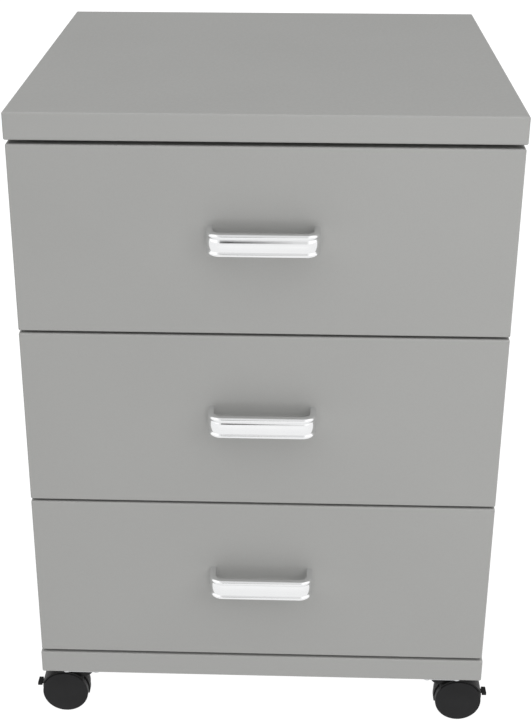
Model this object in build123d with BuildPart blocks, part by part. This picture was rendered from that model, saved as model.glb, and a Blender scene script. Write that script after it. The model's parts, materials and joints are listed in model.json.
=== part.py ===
"""Rolling pedestal cabinet: three drawers on roller runners in a board carcass, on four twin-wheel casters.

Millimetres. X to the right, -Y towards the drawer fronts, +Z up. The origin is on the floor, under the
middle of the whole object's box: the handles reach as far forward of it as the back does behind it.
"""

import os

from build123d import *

# ---- Overall sizes ----
cabinet_width = 400
cabinet_depth = 402
cabinet_height = 572
caster_height = 52
handle_reach = 24

# ---- Boards and their plastic edge bands ----
cap_board = 22
side_board = 18
back_board = 16
front_board = 18
drawer_board = 12
drawer_base = 3.2
band = 2
arris = 1.5
band_arris = 0.4
butt_joint = 0.1

# ---- Drawers, numbered from the top ----
drawer_count = 3
front_width = 398
front_height = 155.5
front_gap = 2
top_gap = 3
stop_gap = 2
box_height = 115
box_length = 350
box_lift = 14
base_lift = 8
groove_depth = 6

# ---- Roller runners ----
runner_space = 12.5
sheet = 1.2
sheet_bend = 1.1
rail_length = 350
rail_setback = 3
rail_end = 12
roller_radius = 10
roller_width = 6.8
roller_gap = 0.15
pin_radius = 2.5
pin_head = 3.3
running_fit = 0.05
runner_height = 26
channel_width = 10
flange_room = 0.4
lip_width = 10.5
rivet_sheet = 1

# ---- Handle ----
handle_width = 89.5
handle_height = 19
handle_strip = 5.5
handle_bend = 9
handle_rise = 5.5
rib_relief = 1.3
rib_grooves = (0.25, 0.75)
handle_corner = 0.8
handle_shank = 2
handle_screw_length = 40

# ---- Casters ----
wheel_radius = 21
wheel_width = 8
wheel_gap = 3.5
wheel_disc = 2.5
wheel_edge = 1.2
wheel_corner = 1
wheel_dome = 0.7
wheel_hub = 6.5
wheel_rim = 17.5
blind_bore = 0.8
axle_radius = 3
trail = 17
caster_side = 165
caster_inset = 21
web_half = 3
web_bottom = 15
hood_outer = 22.7
hood_inner = 21.5
hood_half = 10
hood_edge = 30
boss_radius = 8
boss_bottom = 38
boss_top = 49
kingpin_radius = 3.5
kingpin_bottom = 39
rivet_head = 5
plate_size = 36
plate_corner = 5
plate_sheet = 2
plate_hole = 13.5

# ---- Brake lever, measured from the wheel's axle line ----
arm_half = 1.7
arm_end = 3
arm_room = 0.3
lever_pivot = (12, 3)
lever_lug = (5, 12.8)
lug_path = (6, 13.5)
lug_end = 2.6
lug_pin = 1.6
lug_reach = 3
pivot_pin = 1.5
pedal_start = 22.5
pedal_end = 26.5
pedal_top = 5.5
pedal_sheet = 2.5
pedal_half = 4.75
pedal_slot = 7

# ---- Fasteners ----
thread_fit = 0.05
hole_room = 0.5
cam_radius = 7.5
cam_depth = 12.5
cam_drop = 34
cam_fit = 0.1
cross_slot = (7, 1.6)
cross_depth = 2.5
bolt_head = 3.2
bolt_head_drop = 2.8
bolt_neck = 2
bolt_neck_length = 5
bolt_shaft = 3.3
bolt_thread = 2.5
bolt_thread_length = 10.5
bolt_channel = 3.6
base_shank = 3.5
base_thread = 3.2
base_head = 5
base_head_depth = 3
base_head_sink = 0.3
base_screw_length = 50
hex_key = 2
rail_screw_rise = 6.5
rail_shank = 1.75
rail_screw_length = 15
rail_screw_head = 2.8
rail_screw_crown = 1.6
caster_shank = 2
caster_screw_length = 16
caster_screw_head = 3.6
caster_screw_crown = 1.9
handle_screw_head = 4
handle_screw_crown = 2.4
fastener_rows = (-119, 150)
back_fasteners = 100

# ---- Planes and levels that follow from the sizes above ----
front_face = (handle_reach - cabinet_depth) / 2
back_face = front_face + cabinet_depth
underside = caster_height
base_top = underside + cap_board
top_underside = cabinet_height - cap_board
side_height = top_underside - base_top
middle_y = (front_face + back_face) / 2
half_width = cabinet_width / 2
inner_half = half_width - side_board
front_back = front_face + front_board
side_front = front_back + stop_gap
back_inner = back_face - back_board
box_half = inner_half - runner_space
rail_front = side_front + rail_setback
roller_front = rail_front + rail_end
roller_rear = front_back + box_length - rail_end - 1
fastener_x = half_width - side_board / 2
fastener_y = back_face - back_board / 2
cam_level = top_underside - cam_drop
caster_rows = (front_face + caster_inset, back_face - caster_inset)
plate_underside = underside - plate_sheet
handle_hole = (handle_width - handle_strip) / 2
rail_screw_rows = (rail_front + 32, rail_front + 165, rail_front + 320)
box_screw_rows = (front_back + 40, front_back + 175, front_back + 310)

os.makedirs("parts", exist_ok=True)


def front_bottom(number):
    """Lower edge of a drawer front; drawer 1 is the top one."""
    return top_underside - top_gap - number * front_height - (number - 1) * front_gap


def runner_level(number):
    """Height of the roller axes of a drawer."""
    return front_bottom(number) + runner_height


def box_bottom(number):
    return front_bottom(number) + box_lift


def handle_level(number):
    return front_bottom(number) + front_height / 2 + handle_rise


def save(part, name):
    part.label = name
    export_step(part, f"parts/{name}.step")


def rods(points, radius, low, high, mode=Mode.ADD):
    """Upright round posts, or holes, in the part being made."""
    with BuildSketch(Plane.XY.offset(low)) as section:
        with Locations(*points):
            Circle(radius)
    extrude(section.sketch, amount=high - low, mode=mode)


def banded_ring(plane, length, width, thickness):
    """Four edge strips around a board, with rounded arrises and hairline butt joints. plane is its middle."""
    with BuildPart() as ring:
        with BuildSketch(plane):
            Rectangle(length, width)
        extrude(amount=thickness / 2, both=True)
        fillet(ring.edges(), radius=arris)
        with BuildSketch(plane):
            Rectangle(length - 2 * band, width - 2 * band)
        extrude(amount=thickness, both=True, mode=Mode.SUBTRACT)
        with BuildSketch(plane):
            with GridLocations(0, width - 2 * band - butt_joint, 1, 2):
                Rectangle(length, butt_joint)
        extrude(amount=thickness, both=True, mode=Mode.SUBTRACT)
    return ring.part


def pan_screw(shank, length, head_radius, head_height):
    """Pan-head cross-recess screw, pointing up, with the seat of its head at the origin."""
    crown = head_height * 0.45
    recess_span, recess_width = head_radius * 1.1, head_radius * 0.3
    recess_depth = head_height * 0.6
    with BuildPart() as screw:
        with BuildSketch():
            Circle(head_radius)
        extrude(amount=-head_height)
        fillet(screw.edges().group_by(Axis.Z)[0], radius=crown)
        with BuildSketch(Plane.XY.offset(-head_height)):
            Rectangle(recess_span, recess_width)
            Rectangle(recess_width, recess_span)
        extrude(amount=recess_depth, mode=Mode.SUBTRACT)
        with BuildSketch():
            Circle(shank)
        extrude(amount=length)
    return screw.part


# ---- Top panel: caps the sides and the back ----
side_points = [(side * fastener_x, y) for side in (-1, 1) for y in fastener_rows]
back_points = [(side * back_fasteners, fastener_y) for side in (-1, 1)]
joint_points = side_points + back_points

with BuildPart() as top_panel:
    with BuildSketch(Plane.XY.offset(top_underside)):
        with Locations((0, middle_y)):
            Rectangle(cabinet_width - 2 * band, cabinet_depth - 2 * band)
    extrude(amount=cap_board)
    thread_top = top_underside + bolt_thread_length + hole_room
    rods(joint_points, bolt_thread + thread_fit, top_underside, thread_top, Mode.SUBTRACT)
save(top_panel.part, "top_panel")

top_middle = Plane(origin=(0, middle_y, cabinet_height - cap_board / 2))
save(banded_ring(top_middle, cabinet_width, cabinet_depth, cap_board), "top_edging")

# ---- Bottom panel: under the sides, with pilot holes for the casters ----
caster_points = [(side * caster_side, y) for side in (-1, 1) for y in caster_rows]
plate_points = [
    (x + across * plate_hole, y + along * plate_hole)
    for x, y in caster_points for across in (-1, 1) for along in (-1, 1)
]
caster_pilot = caster_screw_length - plate_sheet + hole_room

with BuildPart() as bottom_panel:
    with BuildSketch(Plane.XY.offset(underside)):
        with Locations((0, middle_y)):
            Rectangle(cabinet_width - 2 * band, cabinet_depth - 2 * band)
    extrude(amount=cap_board)
    rods(joint_points, base_shank + thread_fit, underside, base_top, Mode.SUBTRACT)
    rods(joint_points, base_head + thread_fit, underside, underside + base_head_depth, Mode.SUBTRACT)
    rods(plate_points, caster_shank + thread_fit, underside, underside + caster_pilot, Mode.SUBTRACT)
save(bottom_panel.part, "bottom_panel")

# ---- Side panels: cam bores on the inner face, bolt channels in the top edge, screw pilots ----
levels = [runner_level(number) for number in range(1, drawer_count + 1)]
pilot_top = underside + base_screw_length + 2 * hole_room

for name, side in (("left_side_panel", -1), ("right_side_panel", 1)):
    inner_plane = Plane(origin=(side * inner_half, 0, 0), x_dir=(0, 1, 0), z_dir=(side, 0, 0))
    up = inner_plane.y_dir.Z
    with BuildPart() as side_panel:
        with BuildSketch(Plane.XY.offset(base_top)):
            with Locations((side * fastener_x, (side_front + back_face) / 2)):
                Rectangle(side_board, back_face - side_front - 2 * band)
        extrude(amount=side_height)
        with BuildSketch(inner_plane):
            with Locations(*[(y, up * cam_level) for y in fastener_rows]):
                Circle(cam_radius)
        extrude(amount=cam_depth + hole_room, mode=Mode.SUBTRACT)
        with BuildSketch(inner_plane):
            with Locations(*[(y, up * (z + rail_screw_rise)) for y in rail_screw_rows for z in levels]):
                Circle(rail_shank + thread_fit)
        extrude(amount=rail_screw_length - sheet + hole_room, mode=Mode.SUBTRACT)
        edge_points = [(side * fastener_x, y) for y in fastener_rows]
        rods(edge_points, bolt_channel, cam_level, top_underside, Mode.SUBTRACT)
        rods(edge_points, base_thread + thread_fit, base_top, pilot_top, Mode.SUBTRACT)
    save(side_panel.part, name)

# ---- Back panel: between the sides, flush with their back edges ----
cam_back = Plane(origin=(0, back_inner, 0), x_dir=(-1, 0, 0), z_dir=(0, 1, 0))
with BuildPart() as back_panel:
    with BuildSketch(Plane.XY.offset(base_top)):
        with Locations((0, fastener_y)):
            Rectangle(2 * inner_half, back_board)
    extrude(amount=side_height)
    with BuildSketch(cam_back):
        with Locations((-back_fasteners, cam_level), (back_fasteners, cam_level)):
            Circle(cam_radius)
    extrude(amount=cam_depth + hole_room, mode=Mode.SUBTRACT)
    rods(back_points, bolt_channel, cam_level, top_underside, Mode.SUBTRACT)
    rods(back_points, base_thread + thread_fit, base_top, pilot_top, Mode.SUBTRACT)
save(back_panel.part, "back_panel")

# ---- Edge bands of the bottom panel and of the sides' front and back edges ----
base_middle = Plane(origin=(0, middle_y, underside + cap_board / 2))
with BuildPart() as carcass_edging:
    add(banded_ring(base_middle, cabinet_width, cabinet_depth, cap_board))
    for side in (-1, 1):
        for edge in (side_front + band / 2, back_face - band / 2):
            with BuildSketch(Plane.XY.offset(base_top + butt_joint)):
                with Locations((side * fastener_x, edge)):
                    RectangleRounded(side_board, band, band_arris)
            extrude(amount=side_height - butt_joint)
save(carcass_edging.part, "carcass_edging")

# ---- Cam locks in the sides and the back, and the bolts that they pull down ----
cam_planes = [
    Plane(origin=(side * inner_half, y, cam_level), x_dir=(0, -side, 0), z_dir=(-side, 0, 0))
    for side in (-1, 1) for y in fastener_rows
]
cam_planes += [
    Plane(origin=(x, back_inner, cam_level), x_dir=(1, 0, 0), z_dir=(0, -1, 0)) for x, _ in back_points
]

with BuildPart() as cam_locks:
    for plane in cam_planes:
        with BuildSketch(plane):
            Circle(cam_radius - cam_fit)
        extrude(amount=-cam_depth)
        with BuildSketch(plane):
            Rectangle(*cross_slot)
            Rectangle(*reversed(cross_slot))
        extrude(amount=-cross_depth, mode=Mode.SUBTRACT)
    pocket_bottom = cam_level - bolt_head_drop - 2 * cam_fit
    rods(joint_points, bolt_head + 2 * cam_fit, pocket_bottom, cam_level + cam_radius, Mode.SUBTRACT)
save(cam_locks.part, "cam_locks")

with BuildPart() as cam_bolts:
    neck_top = cam_level + bolt_neck_length
    rods(joint_points, bolt_head, cam_level - bolt_head_drop, cam_level)
    rods(joint_points, bolt_neck, cam_level, neck_top)
    rods(joint_points, bolt_shaft, neck_top, top_underside)
    rods(joint_points, bolt_thread, top_underside, top_underside + bolt_thread_length)
save(cam_bolts.part, "cam_bolts")

# ---- Connecting screws, driven up through the bottom panel into the sides and the back ----
with BuildPart() as base_screws:
    rods(joint_points, base_head, underside + base_head_sink, underside + base_head_depth)
    rods(joint_points, base_shank, underside + base_head_depth, base_top)
    rods(joint_points, base_thread, base_top, underside + base_screw_length)
    with BuildSketch(Plane.XY.offset(underside)):
        with Locations(*joint_points):
            RegularPolygon(hex_key, 6)
    extrude(amount=base_head_depth, mode=Mode.SUBTRACT)
save(base_screws.part, "base_screws")

# ---- Cabinet rails: C channels with the front roller's pin riveted in ----
web_line = inner_half - sheet / 2
channel_lip = inner_half - channel_width
channel_low = -roller_radius - roller_gap - sheet / 2
channel_high = roller_radius + roller_gap + 1.5 * sheet + flange_room
rail_pin_end = channel_lip - sheet / 2

with BuildPart() as cabinet_rails:
    for side in (-1, 1):
        for level in levels:
            with BuildSketch(Plane.XZ.offset(-rail_front)):
                with BuildLine():
                    FilletPolyline(
                        (side * channel_lip, level + channel_high),
                        (side * web_line, level + channel_high),
                        (side * web_line, level + channel_low),
                        (side * channel_lip, level + channel_low),
                        radius=sheet_bend,
                    )
                trace(line_width=sheet)
            extrude(amount=-rail_length)
            pin_plane = Plane(origin=(side * web_line, roller_front, level), z_dir=(-side, 0, 0))
            with BuildSketch(pin_plane):
                Circle(pin_radius)
            extrude(amount=web_line - rail_pin_end)
            with BuildSketch(pin_plane.offset(web_line - rail_pin_end - rivet_sheet)):
                Circle(pin_head)
            extrude(amount=rivet_sheet)
    with BuildSketch(Plane.YZ):
        with Locations(*[(y, level + rail_screw_rise) for y in rail_screw_rows for level in levels]):
            Circle(rail_shank + thread_fit)
    extrude(amount=half_width, both=True, mode=Mode.SUBTRACT)
save(cabinet_rails.part, "cabinet_rails")

rail_screw_seats = [
    Plane(origin=(side * (inner_half - sheet), y, level + rail_screw_rise), z_dir=(side, 0, 0))
    for side in (-1, 1) for level in levels for y in rail_screw_rows
]
with BuildPart() as rail_screws:
    with Locations(*rail_screw_seats):
        add(pan_screw(rail_shank, rail_screw_length, rail_screw_head, rail_screw_crown))
save(rail_screws.part, "rail_screws")


# ---- Drawers ----
front_roller_inner = rail_pin_end + rivet_sheet + 0.2
rear_roller_inner = box_half + sheet + 0.5
rear_pin_end = rear_roller_inner + roller_width + 0.2
flange_line = roller_radius + roller_gap + sheet / 2
flange_end = inner_half - 2.5
lip_line = box_lift - runner_height - sheet / 2
roller_edge = 0.6
base_play = 0.1
screw_play = 0.25
rail_relief = sheet_bend - sheet / 2 + 0.1


def rollers(inner, y, level):
    """A left and a right roller on one axis line, with their inner faces that far from the middle."""
    with BuildPart() as pair:
        for side in (-1, 1):
            with BuildSketch(Plane(origin=(side * inner, y, level), z_dir=(side, 0, 0))):
                Circle(roller_radius)
            extrude(amount=roller_width)
        fillet(pair.edges().filter_by(GeomType.CIRCLE), radius=roller_edge)
        with BuildSketch(Plane.YZ):
            with Locations((y, level)):
                Circle(pin_radius + running_fit)
        extrude(amount=half_width, both=True, mode=Mode.SUBTRACT)
    return pair.part


def handle(level):
    """Bow handle: a ribbed strip bent round two legs, each with a threaded hole in its foot."""
    half = handle_strip / 2
    groove = half - rib_relief
    bow = handle_reach - half
    top = handle_height / 2
    heights = [top - share * handle_height for share in (0, *rib_grooves, 1)]
    threaded = handle_screw_length - front_board - drawer_board + 2 * hole_room
    with BuildPart() as bow_handle:
        with BuildLine(Plane.XY.offset(level)) as path:
            FilletPolyline(
                (-handle_hole, front_face),
                (-handle_hole, front_face - bow),
                (handle_hole, front_face - bow),
                (handle_hole, front_face),
                radius=handle_bend,
            )
        with BuildSketch(Plane(origin=(-handle_hole, front_face, level), x_dir=(1, 0, 0), z_dir=(0, -1, 0))):
            with BuildLine():
                for high, low in zip(heights, heights[1:]):
                    ThreePointArc((-groove, high), (-half, (high + low) / 2), (-groove, low))
                Line((-groove, -top), (half - handle_corner, -top))
                RadiusArc((half - handle_corner, -top), (half, handle_corner - top), -handle_corner)
                Line((half, handle_corner - top), (half, top - handle_corner))
                RadiusArc((half, top - handle_corner), (half - handle_corner, top), -handle_corner)
                Line((half - handle_corner, top), (-groove, top))
            make_face()
        sweep(path=path.line)
        with BuildSketch(Plane.XZ.offset(-front_face)):
            with Locations((-handle_hole, level), (handle_hole, level)):
                Circle(handle_shank + thread_fit)
        extrude(amount=threaded, mode=Mode.SUBTRACT)
    return bow_handle.part


def box_walls(number):
    """Two sides, a back and an inner front, with a groove all round for the base."""
    bottom = box_bottom(number)
    side_x = box_half - drawer_board / 2
    cross_width = 2 * (box_half - drawer_board) - 2 * butt_joint
    groove_x = 2 * (box_half - drawer_board + groove_depth + base_play)
    groove_y = box_length - 2 * (drawer_board - groove_depth - base_play)
    box_middle = front_back + box_length / 2
    ends = (front_back + drawer_board / 2, front_back + box_length - drawer_board / 2)
    level = runner_level(number)
    grip = handle_level(number)
    with BuildPart() as walls:
        with BuildSketch(Plane.XY.offset(bottom)):
            with Locations((-side_x, box_middle), (side_x, box_middle)):
                Rectangle(drawer_board, box_length)
            with Locations((0, ends[0]), (0, ends[1])):
                Rectangle(cross_width, drawer_board)
        extrude(amount=box_height)
        lower_edges = walls.edges().filter_by(Axis.Y).group_by(Axis.Z)[0].sort_by(Axis.X)
        chamfer([lower_edges[0], lower_edges[-1]], length=rail_relief)
        with BuildSketch(Plane.XY.offset(bottom + base_lift)):
            with Locations((0, box_middle)):
                Rectangle(groove_x, groove_y)
        extrude(amount=drawer_base + base_play, mode=Mode.SUBTRACT)
        with BuildSketch(Plane.YZ):
            with Locations(*[(y, level + rail_screw_rise) for y in box_screw_rows]):
                Circle(rail_shank + thread_fit)
        extrude(amount=half_width, both=True, mode=Mode.SUBTRACT)
        with BuildSketch(Plane.XZ.offset(-front_back)):
            with Locations((-handle_hole, grip), (handle_hole, grip)):
                Circle(handle_shank + screw_play)
        extrude(amount=-drawer_board, mode=Mode.SUBTRACT)
    return walls.part


for number in range(1, drawer_count + 1):
    drawer = f"drawer_{number}"
    level = runner_level(number)
    grip = handle_level(number)
    front_middle = Plane(
        origin=(0, front_face + front_board / 2, front_bottom(number) + front_height / 2),
        x_dir=(1, 0, 0), z_dir=(0, -1, 0),
    )

    with BuildPart() as front:
        with BuildSketch(front_middle):
            Rectangle(front_width - 2 * band, front_height - 2 * band)
        extrude(amount=front_board / 2, both=True)
        with BuildSketch(front_middle):
            with Locations((-handle_hole, handle_rise), (handle_hole, handle_rise)):
                Circle(handle_shank + screw_play)
        extrude(amount=front_board, both=True, mode=Mode.SUBTRACT)
    save(front.part, f"{drawer}_front")
    save(banded_ring(front_middle, front_width, front_height, front_board), f"{drawer}_front_edging")
    save(handle(grip), f"{drawer}_handle")
    save(box_walls(number), f"{drawer}_box_walls")

    with BuildPart() as base:
        with BuildSketch(Plane.XY.offset(box_bottom(number) + base_lift + base_play / 2)):
            with Locations((0, front_back + box_length / 2)):
                Rectangle(
                    2 * (box_half - drawer_board + groove_depth),
                    box_length - 2 * (drawer_board - groove_depth),
                )
        extrude(amount=drawer_base)
    save(base.part, f"{drawer}_box_bottom")

    with BuildPart() as runner:
        for side in (-1, 1):
            web = side * (box_half + sheet / 2)
            with BuildSketch(Plane.XZ.offset(-front_back - 1)):
                with BuildLine():
                    FilletPolyline(
                        (side * (box_half - lip_width), level + lip_line),
                        (web, level + lip_line),
                        (web, level + flange_line),
                        (side * flange_end, level + flange_line),
                        radius=sheet_bend,
                    )
                trace(line_width=sheet)
            extrude(amount=-(box_length - 2))
            pin_plane = Plane(origin=(web, roller_rear, level), z_dir=(side, 0, 0))
            with BuildSketch(pin_plane):
                Circle(pin_radius)
            extrude(amount=rear_pin_end - box_half - sheet / 2)
            with BuildSketch(pin_plane.offset(rear_pin_end - box_half - sheet / 2)):
                Circle(pin_head)
            extrude(amount=rivet_sheet)
        with BuildSketch(Plane.YZ):
            with Locations(*[(y, level + rail_screw_rise) for y in box_screw_rows]):
                Circle(rail_shank + thread_fit)
        extrude(amount=half_width, both=True, mode=Mode.SUBTRACT)
    save(runner.part, f"{drawer}_runner_rails")

    save(rollers(front_roller_inner, roller_front, level), f"{drawer}_front_rollers")
    save(rollers(rear_roller_inner, roller_rear, level), f"{drawer}_rear_rollers")

    handle_screw_seats = [
        Plane(origin=(side * handle_hole, front_back + drawer_board, grip), z_dir=(0, -1, 0))
        for side in (-1, 1)
    ]
    runner_screw_seats = [
        Plane(origin=(side * (box_half + sheet), y, level + rail_screw_rise), z_dir=(-side, 0, 0))
        for side in (-1, 1) for y in box_screw_rows
    ]
    with BuildPart() as drawer_screws:
        with Locations(*handle_screw_seats):
            add(pan_screw(handle_shank, handle_screw_length, handle_screw_head, handle_screw_crown))
        with Locations(*runner_screw_seats):
            add(pan_screw(rail_shank, drawer_board, rail_screw_head, rail_screw_crown))
    save(drawer_screws.part, f"{drawer}_screws")


# ---- Casters ----
axle_place = (trail, wheel_radius)
cut = 4 * wheel_radius


def caster_planes(x, y):
    """The caster's ground plane, with X along its trail, and its upright middle plane."""
    outward = 1 if x > 0 else -1
    ground = Plane(origin=(x, y, 0), x_dir=(outward, 0, 0), z_dir=(0, 0, 1))
    upright = Plane(origin=(x, y, 0), x_dir=(outward, 0, 0), z_dir=(0, -outward, 0))
    return ground, upright


def from_axle(place):
    """A place on the upright plane that is given from the axle line."""
    return (trail + place[0], wheel_radius + place[1])


def caster_housing(x, y, braked):
    """Central web on the axle, a hood over both wheels and a boss that turns on the kingpin."""
    ground, upright = caster_planes(x, y)
    with BuildPart() as housing:
        with BuildSketch(upright):
            with Locations(axle_place):
                Circle(hood_outer)
            with Locations((trail, hood_edge)):
                Rectangle(cut, cut, align=(Align.CENTER, Align.MAX), mode=Mode.SUBTRACT)
            with Locations((0, wheel_radius)):
                Rectangle(cut, cut, align=(Align.MAX, Align.CENTER), mode=Mode.SUBTRACT)
        extrude(amount=hood_half, both=True)
        with BuildSketch(ground.offset(boss_bottom)):
            Circle(boss_radius)
        extrude(amount=boss_top - boss_bottom)
        with BuildSketch(upright):
            Polygon(
                (0, boss_bottom), (0, boss_top), (boss_radius - 1, boss_top),
                (trail + boss_radius, wheel_radius + hood_inner - 0.5), (trail, boss_bottom),
                align=None,
            )
        extrude(amount=boss_radius - 1, both=True)
        with BuildSketch(upright):
            with Locations(axle_place):
                Circle(hood_inner)
        extrude(amount=wheel_gap + wheel_width + 1, both=True, mode=Mode.SUBTRACT)
        with BuildSketch(upright):
            with Locations(axle_place):
                Circle((hood_inner + hood_outer) / 2)
            with Locations((trail, web_bottom)):
                Rectangle(cut, cut, align=(Align.CENTER, Align.MAX), mode=Mode.SUBTRACT)
        extrude(amount=web_half, both=True)
        with BuildSketch(upright):
            with Locations(axle_place):
                Circle(axle_radius + running_fit)
        extrude(amount=web_half, both=True, mode=Mode.SUBTRACT)
        with BuildSketch(ground.offset(kingpin_bottom)):
            Circle(kingpin_radius + running_fit)
        extrude(amount=boss_top - kingpin_bottom, mode=Mode.SUBTRACT)
        if braked:
            pivot = from_axle(lever_pivot)
            with BuildSketch(upright):
                with Locations(pivot):
                    Circle(arm_end + 2 * arm_room)
                with Locations(from_axle(lug_path)):
                    Circle(lug_end + 6 * arm_room)
                make_hull()
                with Locations((pivot[0], pivot[1] + arm_end)):
                    Rectangle(cut, pedal_slot, align=(Align.MIN, Align.MAX))
            extrude(amount=arm_half + arm_room, both=True, mode=Mode.SUBTRACT)
            with BuildSketch(upright):
                with Locations(from_axle(lug_path)):
                    Circle(2 * lug_pin)
                with Locations(pivot):
                    Circle(pivot_pin + running_fit)
            extrude(amount=web_half, both=True, mode=Mode.SUBTRACT)
    return housing.part


def brake_lever(x, y):
    """Pedal, arm and pivot stubs in one piece. A lug on each side jams the rim of a wheel from inside."""
    _, upright = caster_planes(x, y)
    pivot = from_axle(lever_pivot)
    lug = from_axle(lever_lug)
    pedal_line = wheel_radius + pedal_top
    with BuildPart() as lever:
        with BuildSketch(upright):
            with Locations(pivot):
                Circle(arm_end)
            with Locations(lug):
                Circle(lug_end)
            make_hull()
            with Locations((pivot[0], pedal_line)):
                Rectangle(trail + pedal_end - pivot[0], pedal_sheet, align=(Align.MIN, Align.MAX))
        extrude(amount=arm_half, both=True)
        with BuildSketch(upright):
            with Locations((trail + pedal_start, pedal_line)):
                Rectangle(pedal_end - pedal_start, pedal_sheet, align=(Align.MIN, Align.MAX))
        extrude(amount=pedal_half, both=True)
        with BuildSketch(upright):
            with Locations(pivot):
                Circle(pivot_pin)
        extrude(amount=web_half - arm_room, both=True)
        with BuildSketch(upright):
            with Locations(lug):
                Circle(lug_pin)
        extrude(amount=wheel_gap + lug_reach, both=True)
    return lever.part


def wheel(x, y, side):
    """Cup-shaped wheel: a domed outer disc, a rim and a hub with a blind bore, open towards the web."""
    _, upright = caster_planes(x, y)
    axis_point = upright.from_local_coords((*axle_place, 0))
    profile_plane = Plane(origin=axis_point, x_dir=(0, side, 0), z_dir=(side, 0, 0))
    inner = wheel_gap
    outer = wheel_gap + wheel_width
    cup = outer - wheel_disc
    bore = axle_radius + running_fit
    bore_end = cup + blind_bore
    crown = outer - wheel_dome
    with BuildPart() as disc:
        with BuildSketch(profile_plane) as profile:
            with BuildLine():
                Polyline(
                    (outer, 0), (bore_end, 0), (bore_end, bore), (inner, bore), (inner, wheel_hub),
                    (cup, wheel_hub), (cup, wheel_rim), (inner, wheel_rim), (inner, wheel_radius),
                    (crown, wheel_radius),
                )
                Bezier((crown, wheel_radius), (outer, wheel_radius / 2), (outer, 0))
            make_face()
            fillet(profile.vertices().group_by(Axis.Y)[-1].sort_by(Axis.X)[0], radius=wheel_corner)
            fillet(profile.vertices().group_by(Axis.Y)[-1].sort_by(Axis.X)[-1], radius=wheel_edge)
        revolve(axis=Axis(axis_point, (0, 1, 0)))
    return disc.part


def axle(x, y):
    _, upright = caster_planes(x, y)
    with BuildPart() as pin:
        with BuildSketch(upright):
            with Locations(axle_place):
                Circle(axle_radius)
        extrude(amount=wheel_gap + wheel_width - wheel_disc + blind_bore / 2, both=True)
        chamfer(pin.edges(), length=0.4)
    return pin.part


for end, y, outer_side in (("front", caster_rows[0], -1), ("rear", caster_rows[1], 1)):
    for hand, x in (("left", -caster_side), ("right", caster_side)):
        place = f"{end}_{hand}"
        save(caster_housing(x, y, end == "front"), f"{place}_caster_housing")
        save(axle(x, y), f"{place}_caster_axle")
        save(wheel(x, y, outer_side), f"{place}_outer_wheel")
        save(wheel(x, y, -outer_side), f"{place}_inner_wheel")
        if end == "front":
            save(brake_lever(x, y), f"{place}_brake_lever")

# ---- Caster plates, their riveted kingpins and their screws ----
rivet_seat = underside - rivet_sheet
with BuildPart() as caster_plates:
    with BuildSketch(Plane.XY.offset(plate_underside)):
        with Locations(*caster_points):
            RectangleRounded(plate_size, plate_size, plate_corner)
    extrude(amount=plate_sheet)
    rods(plate_points, caster_shank + 4 * thread_fit, plate_underside, underside, Mode.SUBTRACT)
    rods(caster_points, kingpin_radius + thread_fit, plate_underside, underside, Mode.SUBTRACT)
    rods(caster_points, rivet_head + thread_fit, rivet_seat, underside, Mode.SUBTRACT)
save(caster_plates.part, "caster_plates")

with BuildPart() as caster_kingpins:
    rods(caster_points, kingpin_radius, kingpin_bottom + hole_room, rivet_seat)
    rods(caster_points, rivet_head, rivet_seat, underside)
save(caster_kingpins.part, "caster_kingpins")

with BuildPart() as caster_screws:
    with Locations(*[(x, y, plate_underside) for x, y in plate_points]):
        add(pan_screw(caster_shank, caster_screw_length, caster_screw_head, caster_screw_crown))
save(caster_screws.part, "caster_screws")
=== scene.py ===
"""The looks of the rolling pedestal cabinet: materials, finer handles, floor, light and camera."""

import json
import math

import bmesh
import bpy
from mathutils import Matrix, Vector

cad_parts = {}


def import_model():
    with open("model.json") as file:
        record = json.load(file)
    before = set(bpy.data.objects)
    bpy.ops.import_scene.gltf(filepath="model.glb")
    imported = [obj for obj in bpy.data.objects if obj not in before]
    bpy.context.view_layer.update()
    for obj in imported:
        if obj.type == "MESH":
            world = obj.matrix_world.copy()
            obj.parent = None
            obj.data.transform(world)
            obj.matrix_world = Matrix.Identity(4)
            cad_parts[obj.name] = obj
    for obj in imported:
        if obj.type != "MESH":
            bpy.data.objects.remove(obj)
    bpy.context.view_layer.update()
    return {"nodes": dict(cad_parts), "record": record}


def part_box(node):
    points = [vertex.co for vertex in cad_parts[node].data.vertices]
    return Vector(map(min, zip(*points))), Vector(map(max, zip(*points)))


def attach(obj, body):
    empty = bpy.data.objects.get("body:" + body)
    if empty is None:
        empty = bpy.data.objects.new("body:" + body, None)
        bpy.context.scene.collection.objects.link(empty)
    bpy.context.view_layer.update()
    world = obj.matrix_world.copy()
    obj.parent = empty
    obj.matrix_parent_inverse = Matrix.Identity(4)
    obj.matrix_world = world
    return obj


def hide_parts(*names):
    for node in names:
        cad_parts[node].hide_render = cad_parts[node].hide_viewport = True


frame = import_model()
nodes = frame["nodes"]
drawers = ("drawer_1", "drawer_2", "drawer_3")

# ---- Places read from the frame, in metres ----
front_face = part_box("drawer_1_front_edging")[0].y
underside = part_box("carcass_edging")[0].z

# ---- Handle section and bend, in metres, degrees and steps ----
strip = 0.0055
bend = 0.009
edge_bead = 0.0023
bead_swing = (90, -50)
bead_steps = 14
bead_overlap = 0.95
middle_relief = 0.0008
middle_inset = 0.0001
middle_steps = 18
inner_corner = 0.0008
corner_steps = 4
turn_steps = 16
straight_share = 0.66
sharp_angle = 35

# ---- The range that most of a noise texture's values lie in ----
noise_span = (0.3, 0.7)

# ---- Colours, linear ----
laminate_grey = (0.301, 0.301, 0.293)
edge_grey = (0.305, 0.305, 0.297)
board_white = (0.66, 0.66, 0.645)
enamel_white = (0.72, 0.72, 0.70)
nylon_white = (0.76, 0.76, 0.74)
bright_metal = (0.86, 0.865, 0.87)
zinc_metal = (0.62, 0.63, 0.64)
housing_black = (0.010, 0.010, 0.010)
wheel_black = (0.011, 0.011, 0.0115)

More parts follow.
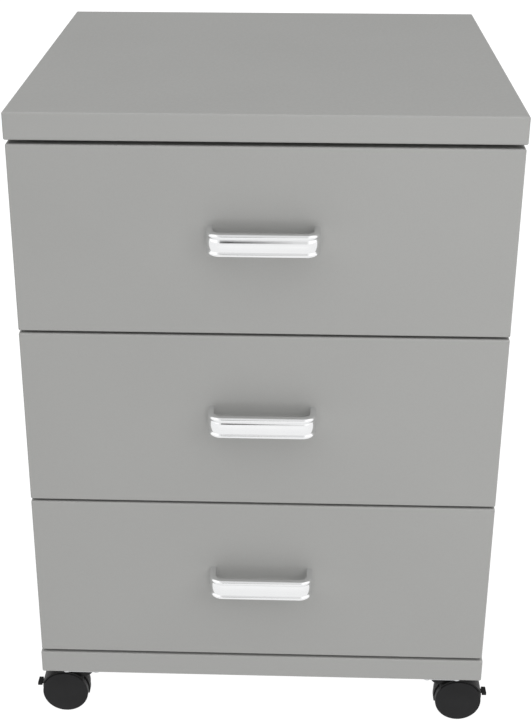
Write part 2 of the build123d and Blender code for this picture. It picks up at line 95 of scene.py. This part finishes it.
# ---- Floor, as brightness ----
floor_reach = 12
floor_albedo = 0.08
floor_roughness = 0.8
floor_glow = 0.74
floor_white = 1.0
floor_mirrored = 0.88

# ---- World, as brightness and as places on the unit sphere around the cabinet ----
white_level = 1.3
ceiling_level = 1.75
ceiling_height = (0.3, 0.8)
front_level = 0.82
side_level = 1.3
side_width = (0.12, 0.6)
back_level = 0.35
back_depth = (-0.2, 0.4)
opening_level = 0.02
opening_height = ((-0.10, -0.03), (0.12, 0.20))
opening_width = ((-0.13, -0.09), (-0.05, 0.01))
opening_depth = (-0.9, -0.8)

# ---- Softboxes: place and aim in metres, side in metres, power in watts ----
softboxes = {
    "softbox_front": {
        "place": (0.1, -1.9, 0.45),
        "aim": (0, front_face, 0.35),
        "side": 1.0,
        "watts": 12.5,
    },
    "softbox_right": {
        "place": (0.75, -0.95, 0.75),
        "aim": (0.1, front_face, 0.45),
        "side": 0.5,
        "watts": 2.2,
    },
}

# ---- Camera: metres from the front face and the underside, degrees, lens in millimetres ----
camera_ahead = 1.0442
camera_above = 0.7918
camera_aside = 0.0225
camera_pitch = 25.333
camera_yaw = -2.102
camera_lens = 70.35
camera_sensor = 36
camera_shift = (0.0308, 0.0297)


class Shader:
    """A material built around one Principled BSDF, with short calls for the nodes that feed it."""

    def __init__(self, name, color, roughness, **sockets):
        self.material = bpy.data.materials.new(name)
        self.material.use_nodes = True
        self.material.diffuse_color = (*color, 1)
        self.tree = self.material.node_tree
        self.principled = self.tree.nodes["Principled BSDF"]
        self.color = color
        self.principled.inputs["Base Color"].default_value = (*color, 1)
        self.principled.inputs["Roughness"].default_value = roughness
        self.roughness = roughness
        for socket, value in sockets.items():
            title = socket.replace("_", " ").title().replace("Ior", "IOR")
            self.principled.inputs[title].default_value = value
        coordinates = self.tree.nodes.new("ShaderNodeTexCoord")
        self.place = coordinates.outputs["Object"]
        self.normal = None

    def node(self, kind, **values):
        made = self.tree.nodes.new(kind)
        for key, value in values.items():
            setattr(made, key, value)
        return made

    def link(self, output, socket):
        self.tree.links.new(output, socket)

    def stretched(self, scale):
        """Object coordinates, scaled by one number for each axis, in features per metre."""
        mapping = self.node("ShaderNodeMapping")
        mapping.inputs["Scale"].default_value = scale
        self.link(self.place, mapping.inputs["Vector"])
        return mapping.outputs["Vector"]

    def noise(self, scale, detail=2.0, roughness=0.5, stretch=(1, 1, 1)):
        texture = self.node("ShaderNodeTexNoise")
        texture.inputs["Scale"].default_value = scale
        texture.inputs["Detail"].default_value = detail
        texture.inputs["Roughness"].default_value = roughness
        self.link(self.stretched(stretch), texture.inputs["Vector"])
        return texture.outputs["Fac"]

    def remap(self, value, low, high, to_low, to_high):
        change = self.node("ShaderNodeMapRange")
        settings = {"From Min": low, "From Max": high, "To Min": to_low, "To Max": to_high}
        for key, number in settings.items():
            change.inputs[key].default_value = number
        self.link(value, change.inputs["Value"])
        return change.outputs["Result"]

    def tint(self, value, spread):
        """Makes the colour darker and lighter by that share."""
        base = self.principled.inputs["Base Color"]
        shade = self.node("ShaderNodeVectorMath", operation="SCALE")
        if base.is_linked:
            self.link(base.links[0].from_socket, shade.inputs["Vector"])
        else:
            shade.inputs["Vector"].default_value = self.color
        self.link(self.remap(value, *noise_span, 1 - spread, 1 + spread), shade.inputs["Scale"])
        self.link(shade.outputs["Vector"], base)

    def rough(self, value, spread):
        """Makes the roughness vary by that much both ways."""
        varied = self.remap(value, *noise_span, self.roughness - spread, self.roughness + spread)
        self.link(varied, self.principled.inputs["Roughness"])

    def bump(self, value, height):
        """Adds relief of that height in metres."""
        relief = self.node("ShaderNodeBump")
        relief.inputs["Distance"].default_value = height
        relief.inputs["Strength"].default_value = 1.0
        self.link(value, relief.inputs["Height"])
        if self.normal is not None:
            self.link(self.normal, relief.inputs["Normal"])
        self.normal = relief.outputs["Normal"]
        self.link(self.normal, self.principled.inputs["Normal"])


# ---- Materials ----
def laminate(name, color):
    """Matt melamine: pearl texture of about half a millimetre, and a hardly visible mottle."""
    shader = Shader(name, color, roughness=0.52)
    shader.tint(shader.noise(scale=9, detail=3), spread=0.012)
    shader.tint(shader.noise(scale=1400, detail=2), spread=0.02)
    shader.rough(shader.noise(scale=420, detail=4), spread=0.05)
    shader.bump(shader.noise(scale=1900, detail=3, roughness=0.6), height=0.00002)
    return shader.material


def edge_band(name, color):
    """Plastic edge band: smoother than the laminate, with a finer grain."""
    shader = Shader(name, color, roughness=0.42)
    shader.tint(shader.noise(scale=900, detail=2), spread=0.015)
    shader.rough(shader.noise(scale=300, detail=3), spread=0.05)
    shader.bump(shader.noise(scale=1100, detail=2), height=0.000012)
    return shader.material


def drawer_board(name, color):
    """Pale melamine on the drawer box, with faint level streaks."""
    shader = Shader(name, color, roughness=0.5)
    shader.tint(shader.noise(scale=60, detail=6, stretch=(1, 1, 14)), spread=0.02)
    shader.tint(shader.noise(scale=1500, detail=2), spread=0.015)
    shader.bump(shader.noise(scale=1300, detail=3), height=0.00002)
    return shader.material


def enamel(name, color):
    """Epoxy powder coat with orange peel."""
    shader = Shader(name, color, roughness=0.34, coat_weight=0.15)
    shader.tint(shader.noise(scale=35, detail=3), spread=0.02)
    shader.rough(shader.noise(scale=180, detail=3), spread=0.05)
    shader.bump(shader.noise(scale=700, detail=2), height=0.00003)
    return shader.material


def nylon(name, color):
    """Slightly translucent moulded nylon."""
    shader = Shader(name, color, roughness=0.4, subsurface_weight=0.08)
    shader.tint(shader.noise(scale=120, detail=3), spread=0.03)
    shader.bump(shader.noise(scale=2400, detail=2), height=0.000012)
    return shader.material


def satin_metal(name, color):
    """Bright satin metal, drawn along its length."""
    shader = Shader(name, color, roughness=0.09, metallic=1.0)
    shader.tint(shader.noise(scale=50, detail=3), spread=0.01)
    shader.rough(shader.noise(scale=260, detail=4, stretch=(0.06, 1, 1)), spread=0.03)
    shader.bump(shader.noise(scale=1500, detail=3, stretch=(0.03, 1, 1)), height=0.000004)
    return shader.material


def zinc(name, color, roughness=0.34):
    """Zinc plate with soft spangle, a little uneven in tone and gloss."""
    shader = Shader(name, color, roughness, metallic=1.0)
    shader.tint(shader.noise(scale=380, detail=4), spread=0.05)
    shader.rough(shader.noise(scale=900, detail=4), spread=0.08)
    shader.bump(shader.noise(scale=2200, detail=3), height=0.00001)
    return shader.material


def moulded_black(name, color, roughness, grain):
    """Moulded black plastic with spark-eroded grain, a little uneven in tone."""
    shader = Shader(name, color, roughness, specular_ior_level=0.18)
    shader.tint(shader.noise(scale=70, detail=5), spread=0.12)
    shader.rough(shader.noise(scale=500, detail=4), spread=0.07)
    shader.bump(shader.noise(scale=grain, detail=3), height=0.00003)
    return shader.material


materials = {
    "grey_laminate": laminate("laminate_grey_pearl", laminate_grey),
    "grey_edging": edge_band("edge_band_grey", edge_grey),
    "drawer_board": drawer_board("drawer_board_pale", board_white),
    "rail_enamel": enamel("rail_enamel_white", enamel_white),
    "roller_nylon": nylon("roller_nylon_white", nylon_white),
    "handle_metal": satin_metal("handle_satin_metal", bright_metal),
    "zinc_screw": zinc("screw_zinc", zinc_metal),
    "zinc_fitting": zinc("fitting_zinc", zinc_metal, roughness=0.45),
    "caster_steel": zinc("caster_steel_zinc", zinc_metal, roughness=0.3),
    "caster_housing_plastic": moulded_black(
        "caster_housing_black", housing_black, roughness=0.5, grain=1600,
    ),
    "wheel_plastic": moulded_black("wheel_black", wheel_black, roughness=0.42, grain=2200),
}


def dress(thing, material):
    thing.data.materials.clear()
    thing.data.materials.append(material)


for entry in frame["record"]["subparts"]:
    dress(nodes[entry["node"]], materials[entry["material_slot"]])


# ---- Handles ----
def arc(centre, radius, start, end, steps):
    """Points on an arc, from one angle to another, in degrees."""
    angles = [math.radians(start + (end - start) * step / steps) for step in range(steps + 1)]
    across, up = centre
    return [(across + radius * math.cos(angle), up + radius * math.sin(angle)) for angle in angles]


def handle_section(height):
    """Closed outline of the strip: outward, up. Two round edge beads and a broad crowned middle."""
    half, top = strip / 2, height / 2
    bead_line = half - edge_bead
    chord = top - 2 * edge_bead * bead_overlap
    radius = (chord**2 + middle_relief**2) / (2 * middle_relief)
    swing = math.degrees(math.asin(chord / radius))
    crown = half - middle_inset
    upper = arc((bead_line, top - edge_bead), edge_bead, *bead_swing, bead_steps)
    middle = arc((crown - radius, 0), radius, swing, -swing, middle_steps)
    lower = [(out, -up) for out, up in reversed(upper)]
    back_low = arc((inner_corner - half, inner_corner - top), inner_corner, 270, 180, corner_steps)
    back_high = arc((inner_corner - half, top - inner_corner), inner_corner, 180, 90, corner_steps)
    return upper + middle + lower + back_low + back_high


def handle_stations(side, reach):
    """Places along the strip's middle line, from foot to foot, and the way out at each."""
    stations = [((-side, 0), (-1, 0)), ((-side, 0.5 * (bend - reach)), (-1, 0))]
    for step in range(turn_steps + 1):
        angle = math.radians(180 + 90 * step / turn_steps)
        out = (math.cos(angle), math.sin(angle))
        stations.append(((bend - side + bend * out[0], bend - reach + bend * out[1]), out))
    for share in (-straight_share, 0):
        stations.append(((share * (side - bend), -reach), (0, -1)))
    mirrored = [((-place[0], place[1]), (-out[0], out[1])) for place, out in reversed(stations[:-1])]
    return stations + mirrored


def handle(drawer):
    """Ribbed bow handle, swept in one smooth strip where the CAD handle stands."""
    low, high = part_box(f"{drawer}_handle")
    level = (low.z + high.z) / 2
    section = handle_section(high.z - low.z)
    side = (high.x - low.x - strip) / 2
    reach = front_face - low.y - strip / 2
    shape = bmesh.new()
    rings = []
    for (x, y), out in handle_stations(side, reach):
        rings.append([
            shape.verts.new((x + out[0] * depth, front_face + y + out[1] * depth, level + up))
            for depth, up in section
        ])
    count = len(section)
    for ring, following in zip(rings, rings[1:]):
        for index in range(count):
            after = (index + 1) % count
            shape.faces.new((ring[index], ring[after], following[after], following[index]))
    shape.faces.new(reversed(rings[0]))
    shape.faces.new(rings[-1])
    bmesh.ops.recalc_face_normals(shape, faces=shape.faces)
    mesh = bpy.data.meshes.new(f"{drawer}_bow_handle")
    shape.to_mesh(mesh)
    shape.free()
    mesh.shade_smooth()
    mesh.set_sharp_from_angle(angle=math.radians(sharp_angle))
    piece = bpy.data.objects.new(f"{drawer}_bow_handle", mesh)
    bpy.context.scene.collection.objects.link(piece)
    dress(piece, materials["handle_metal"])
    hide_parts(f"{drawer}_handle")
    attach(piece, drawer)


for drawer in drawers:
    handle(drawer)


# ---- Floor, light and camera ----
def floor():
    """Plain pale floor that glows: white to the eye, and a little darker to everything else."""
    corners = [(x * floor_reach, y * floor_reach, 0) for x, y in ((-1, -1), (1, -1), (1, 1), (-1, 1))]
    mesh = bpy.data.meshes.new("floor")
    mesh.from_pydata(corners, [], [(0, 1, 2, 3)])
    plane = bpy.data.objects.new("floor", mesh)
    bpy.context.scene.collection.objects.link(plane)
    pale = Shader("floor_pale", (floor_albedo,) * 3, floor_roughness, specular_ior_level=0.1)
    pale.principled.inputs["Emission Color"].default_value = (1, 1, 1, 1)
    ray = pale.node("ShaderNodeLightPath").outputs
    glow = pale.remap(ray["Is Camera Ray"], 0, 1, floor_glow, floor_white)
    mirrored = pale.remap(ray["Is Glossy Ray"], 0, 1, 0, floor_mirrored - floor_glow)
    total = pale.node("ShaderNodeMath", operation="ADD")
    pale.link(glow, total.inputs[0])
    pale.link(mirrored, total.inputs[1])
    pale.link(total.outputs["Value"], pale.principled.inputs["Emission Strength"])
    dress(plane, pale.material)


def world():
    """White to the eye. Soft light comes from the ceiling alone, and metal mirrors pale walls.

    The walls have a soft dark opening at the horizon, in front and a little to the left.
    """
    studio = bpy.data.worlds.new("studio")
    bpy.context.scene.world = studio
    studio.use_nodes = True
    tree = studio.node_tree

    def ramp(value, span, start, end):
        change = tree.nodes.new("ShaderNodeMapRange")
        change.interpolation_type = "SMOOTHSTEP"
        settings = {"From Min": span[0], "From Max": span[1], "To Min": start, "To Max": end}
        for key, number in settings.items():
            change.inputs[key].default_value = number
        tree.links.new(value, change.inputs["Value"])
        return change.outputs["Result"]

    def calculate(operation, *values):
        result = tree.nodes.new("ShaderNodeMath")
        result.operation = operation
        for value, socket in zip(values, result.inputs):
            tree.links.new(value, socket)
        return result.outputs["Value"]

    def choose(flag, otherwise, chosen):
        mix = tree.nodes.new("ShaderNodeMix")
        tree.links.new(flag, mix.inputs["Factor"])
        for value, socket in ((otherwise, mix.inputs["A"]), (chosen, mix.inputs["B"])):
            if isinstance(value, float):
                socket.default_value = value
            else:
                tree.links.new(value, socket)
        return mix.outputs["Result"]

    def between(value, spans):
        """One between the two spans, and zero beyond them."""
        rise, fall = spans
        return calculate("MULTIPLY", ramp(value, rise, 0, 1), ramp(value, fall, 1, 0))

    split = tree.nodes.new("ShaderNodeSeparateXYZ")
    tree.links.new(tree.nodes.new("ShaderNodeTexCoord").outputs["Generated"], split.inputs["Vector"])
    across, along, height = split.outputs["X"], split.outputs["Y"], split.outputs["Z"]

    window = calculate("MULTIPLY", between(height, opening_height), between(across, opening_width))
    opening = calculate("MULTIPLY", window, ramp(along, opening_depth, 1, 0))
    sides = ramp(calculate("ABSOLUTE", across), side_width, front_level, side_level)
    opened = calculate("MULTIPLY", sides, ramp(opening, (0, 1), 1, opening_level))
    walls = calculate("MULTIPLY", opened, ramp(along, back_depth, 1, back_level))
    ceiling = ramp(height, ceiling_height, 0, ceiling_level)

    ray = tree.nodes.new("ShaderNodeLightPath").outputs
    level = choose(ray["Is Camera Ray"], choose(ray["Is Glossy Ray"], ceiling, walls), white_level)
    tree.links.new(level, tree.nodes["Background"].inputs["Color"])


def softbox(name, place, aim, side, watts):
    """Square soft light that metal doesn't mirror."""
    light = bpy.data.lights.new(name, "AREA")
    light.shape = "RECTANGLE"
    light.size = light.size_y = side
    light.energy = watts
    lamp = bpy.data.objects.new(name, light)
    lamp.visible_glossy = False
    bpy.context.scene.collection.objects.link(lamp)
    lamp.location = place
    lamp.rotation_euler = (Vector(place) - Vector(aim)).to_track_quat("Z", "Y").to_euler()


def camera():
    """Stands before the drawer fronts, above the top, and looks down at them."""
    pitch, yaw = math.radians(camera_pitch), math.radians(camera_yaw)
    data = bpy.data.cameras.new("camera")
    data.lens = camera_lens
    data.sensor_width = camera_sensor
    data.shift_x, data.shift_y = camera_shift
    viewer = bpy.data.objects.new("camera", data)
    bpy.context.scene.collection.objects.link(viewer)
    viewer.location = (camera_aside, front_face - camera_ahead, underside + camera_above)
    level_way = math.cos(pitch)
    forward = Vector((math.sin(yaw) * level_way, math.cos(yaw) * level_way, -math.sin(pitch)))
    viewer.rotation_euler = forward.to_track_quat("-Z", "Y").to_euler()
    bpy.context.scene.camera = viewer


floor()
world()
for name, settings in softboxes.items():
    softbox(name, **settings)
camera()
bpy.context.scene.view_settings.view_transform = "Standard"
